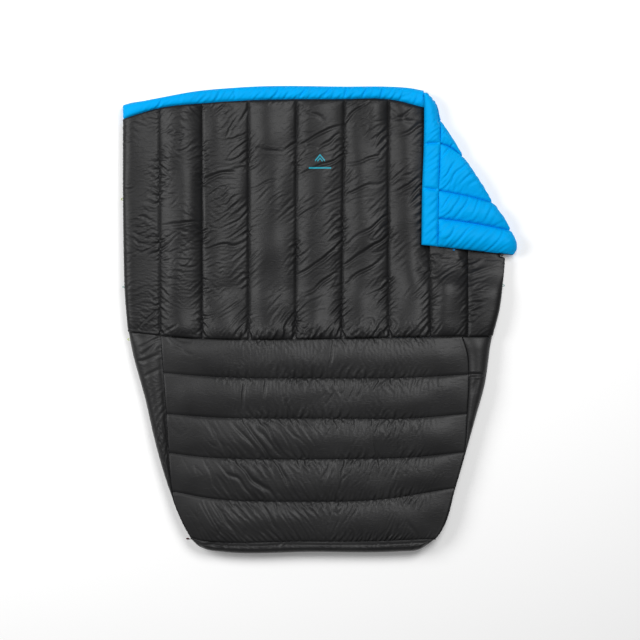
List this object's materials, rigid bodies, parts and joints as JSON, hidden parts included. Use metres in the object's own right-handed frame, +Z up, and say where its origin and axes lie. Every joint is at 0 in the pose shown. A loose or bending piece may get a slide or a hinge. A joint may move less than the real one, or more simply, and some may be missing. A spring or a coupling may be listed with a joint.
{
  "type": "double quilt",
  "caption": "Padded two-person camping quilt laid flat, with sewn channels, a closed footbox and one corner turned back to show its lining.",
  "frame": {"origin": "on the floor, under the middle of the quilt's bounding box", "axes": "+Z up out of the quilt, +Y towards the head end, +X towards the side with the turned corner"},
  "size_m": [1.7018, 2.0134, 0.0952],
  "materials": {
    "shell": "thin black nylon with a soft sheen, puckered at its seams",
    "lining": "thin bright blue nylon, slightly matt",
    "yellow_cord": "matt cord",
    "pale_tape": "matt tape",
    "black_trim": "black, slightly glossy",
    "blue_tape": "matt tape",
    "red_cord": "matt cord"
  },
  "bodies": {
    "root": {"upper_quilt": "shell", "collar_band": "lining", "corner_lining": "lining", "footbox_top": "shell", "footbox_back": "shell", "footbox_side_left": "shell", "footbox_side_right": "shell", "foot_end": "shell", "loop_left_upper": "yellow_cord", "loop_left_lower": "yellow_cord", "tab_left": "pale_tape", "tab_right": "pale_tape", "loop_corner_upper": "black_trim", "loop_corner_lower": "black_trim", "loop_corner_side": "blue_tape", "press_stud": "black_trim", "cord_end": "red_cord"}
  },
  "joints": []
}
